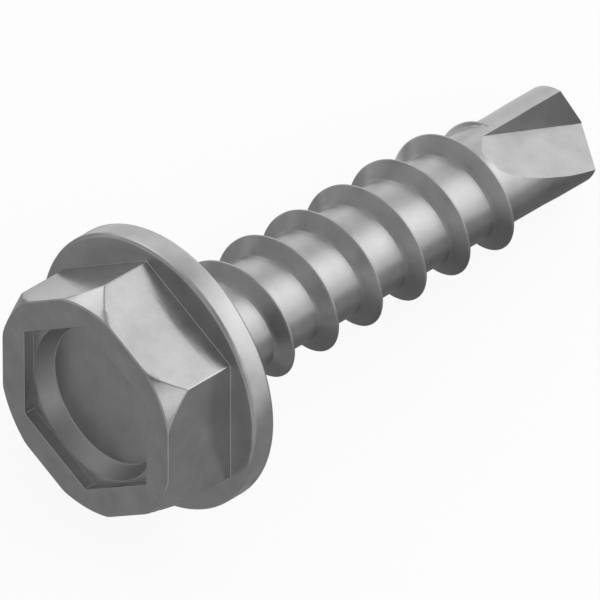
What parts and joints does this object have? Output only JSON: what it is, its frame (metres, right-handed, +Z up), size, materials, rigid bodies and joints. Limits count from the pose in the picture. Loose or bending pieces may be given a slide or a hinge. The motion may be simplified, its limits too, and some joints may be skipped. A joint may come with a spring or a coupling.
{
  "type": "self drilling screw",
  "caption": "Steel self drilling screw with a recessed hexagon washer head, a coarse right-hand thread and a fluted drill point, lying on its side.",
  "frame": {"origin": "on the floor, under the middle of the lying screw's bounding box", "axes": "+X along the screw from head to tip, level with the floor; +Z up. The screw's own axis dips 10.3 degrees from +X towards the floor, because it rests on its washer rim, its last thread turn and a lip of its drill point."},
  "size_m": [0.0243, 0.0102, 0.0103],
  "materials": {
    "zinc_plated_steel": "satin bright zinc plate"
  },
  "bodies": {
    "root": {"screw": "zinc_plated_steel"}
  },
  "joints": []
}
